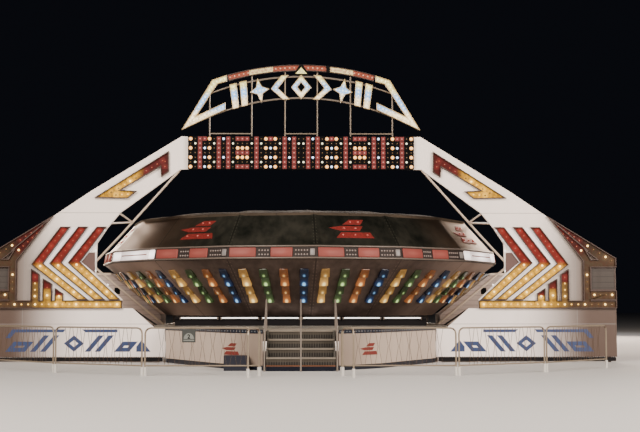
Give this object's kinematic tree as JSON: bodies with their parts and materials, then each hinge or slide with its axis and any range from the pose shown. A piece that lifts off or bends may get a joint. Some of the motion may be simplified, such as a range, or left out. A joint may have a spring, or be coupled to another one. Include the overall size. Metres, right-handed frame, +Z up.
{
  "type": "spinning drum fairground ride",
  "caption": "Trailer-mounted spinning drum ride with sixteen-sided drum, light-box wings, bulb board, arched sign, deck, stair and queue barriers.",
  "frame": {"origin": "on the ground at the drum's axis, in the plane that the ride stands on", "axes": "+Z up along the drum's axis, -Y toward the front with the stair and the sign, +X to the right"},
  "size_m": [17.8, 19.1066, 8.424],
  "materials": {
    "white_paint": "off-white enamel, satin",
    "cream_tube": "cream enamel on steel tube",
    "drum_skin": "dull ribbed aluminium sheet",
    "canvas": "tan vinyl-coated canvas",
    "dark_steel": "black paint on steel",
    "tread_plate": "raised-pattern tread plate",
    "red_light": "translucent red lens, lit from behind",
    "gold_light": "amber light box with bulbs",
    "lamp_white": "translucent white lens, lit from behind",
    "board_black": "black enamel face with bulbs",
    "grey_boarding": "grey ribbed sheet",
    "navy_paint": "navy enamel"
  },
  "bodies": {
    "base": {"trailer_bed": "dark_steel", "base_deck": "tread_plate", "centre_bearing": "dark_steel", "front_deck": "tread_plate", "deck_skirt_left": "white_paint", "deck_skirt_right": "white_paint", "side_skirt_left": "white_paint", "side_skirt_right": "white_paint", "tube_light_bar": "lamp_white", "stair_flight": "tread_plate", "handrail_left": "cream_tube", "handrail_middle": "cream_tube", "handrail_right": "cream_tube", "queue_barrier_left_1": "cream_tube", "queue_barrier_left_2": "cream_tube", "queue_barrier_left_3": "cream_tube", "queue_barrier_right_1": "cream_tube", "queue_barrier_right_2": "cream_tube", "queue_barrier_right_3": "cream_tube", "queue_loop_left": "cream_tube", "queue_loop_right": "cream_tube", "wing_arm_left": "white_paint", "wing_arm_right": "white_paint", "wing_body_left": "white_paint", "wing_body_right": "white_paint", "arrow_box_left": "red_light", "arrow_box_right": "red_light", "chevron_boxes_left": "red_light", "chevron_boxes_right": "red_light", "wing_lamp_frame_left": "gold_light", "wing_lamp_frame_right": "gold_light", "bulb_board": "board_black", "sign_crown": "red_light", "sign_row": "lamp_white", "sign_fin_left": "lamp_white", "sign_fin_right": "lamp_white", "sign_frame": "cream_tube", "pole_frame_left": "cream_tube", "pole_frame_right": "cream_tube", "top_beam": "cream_tube", "end_housing_left": "grey_boarding", "end_housing_right": "grey_boarding", "power_box": "navy_paint"},
    "drum": {"drum_floor": "tread_plate", "drum_hub": "dark_steel", "turntable_ring": "dark_steel", "lower_wall_1": "drum_skin", "lower_wall_2": "drum_skin", "lower_wall_3": "drum_skin", "lower_wall_4": "drum_skin", "upper_wall_1": "drum_skin", "upper_wall_2": "drum_skin", "upper_wall_3": "drum_skin", "upper_wall_4": "drum_skin", "rim_light_band": "red_light", "drum_roof": "canvas"}
  },
  "joints": [
    {"name": "drum_spin", "type": "hinge", "parent": "base", "child": "drum", "pos_m": [0, 0, 1.18], "axis": [0, 0, 1], "continuous": true}
  ]
}
